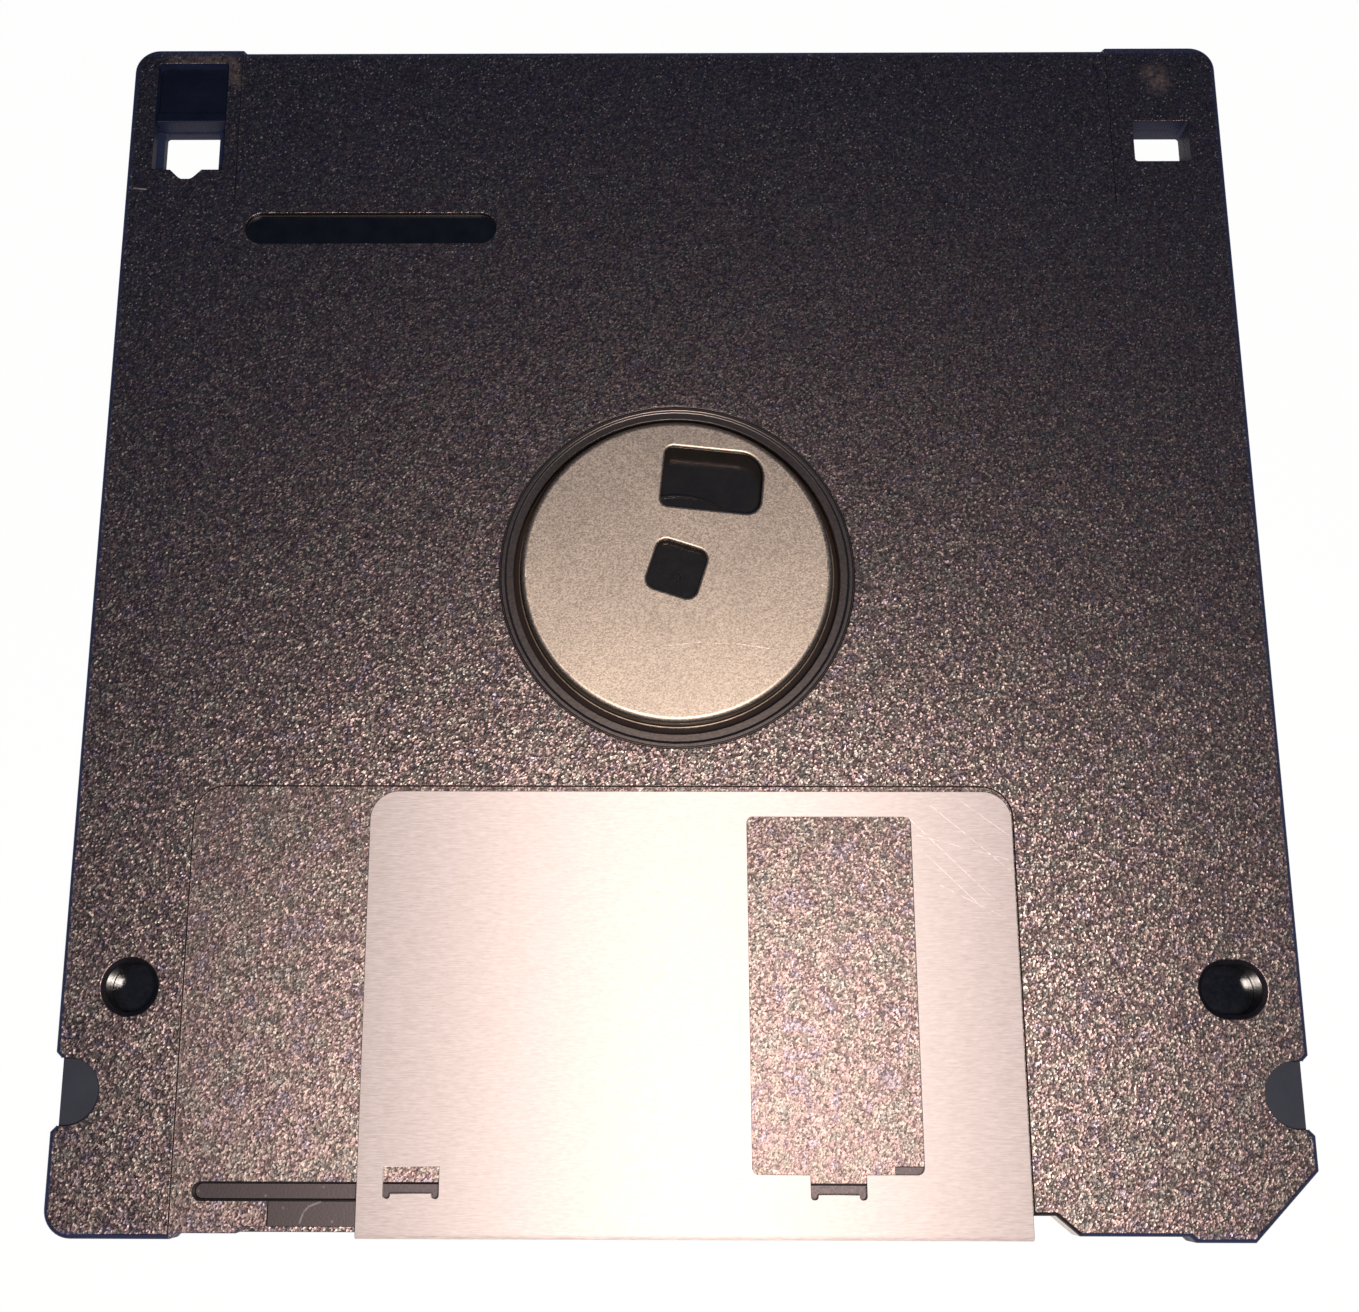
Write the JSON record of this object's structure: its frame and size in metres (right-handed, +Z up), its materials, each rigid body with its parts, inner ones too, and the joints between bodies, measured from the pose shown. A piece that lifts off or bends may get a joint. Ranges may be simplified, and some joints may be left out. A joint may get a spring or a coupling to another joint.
{
  "type": "floppy disk",
  "caption": "Flat square magnetic disk cartridge with a sprung sliding metal shutter, a metal hub that spins, and a write-protect slider.",
  "frame": {"origin": "on the table under the middle of the case, which lies on its label face", "axes": "+Z up out of the hub side, +Y towards the label edge, -Y towards the shutter edge that enters the drive, +X towards the bevelled corner's side"},
  "size_m": [0.09, 0.094, 0.0033],
  "materials": {
    "case_plastic": "fine spark-eroded texture, black",
    "tab_plastic": "smooth black",
    "shutter_steel": "brushed along the width",
    "hub_steel": "satin, lightly scratched",
    "magnetic_film": "smooth dark brown film",
    "liner_fabric": "soft white non-woven",
    "lifter_film": "clear-grey film",
    "adhesive": "thin clear adhesive",
    "spring_wire": "bright drawn wire"
  },
  "bodies": {
    "case": {"rear_shell": "case_plastic", "front_shell": "case_plastic", "rear_liner": "liner_fabric", "front_liner": "liner_fabric", "liner_lifter": "lifter_film", "shutter_spring": "spring_wire"},
    "shutter": {"shutter": "shutter_steel"},
    "disc": {"hub": "hub_steel", "hub_adhesive_ring": "adhesive", "magnetic_disc": "magnetic_film"},
    "write_protect_tab": {"write_protect_tab": "tab_plastic"}
  },
  "joints": [
    {"name": "shutter_slide", "type": "slide", "parent": "case", "child": "shutter", "axis": [-1, 0, 0], "range_m": [0, 0.0126], "stiffness_N_per_m": 25, "springref_m": -0.008, "deforming": ["shutter_spring"]},
    {"name": "disc_spin", "type": "hinge", "parent": "case", "child": "disc", "pos_m": [0, 0.00195, 0.00165], "axis": [0, 0, 1], "continuous": true},
    {"name": "write_protect_slide", "type": "slide", "parent": "case", "child": "write_protect_tab", "axis": [0, -1, 0], "range_m": [0, 0.0044]}
  ]
}
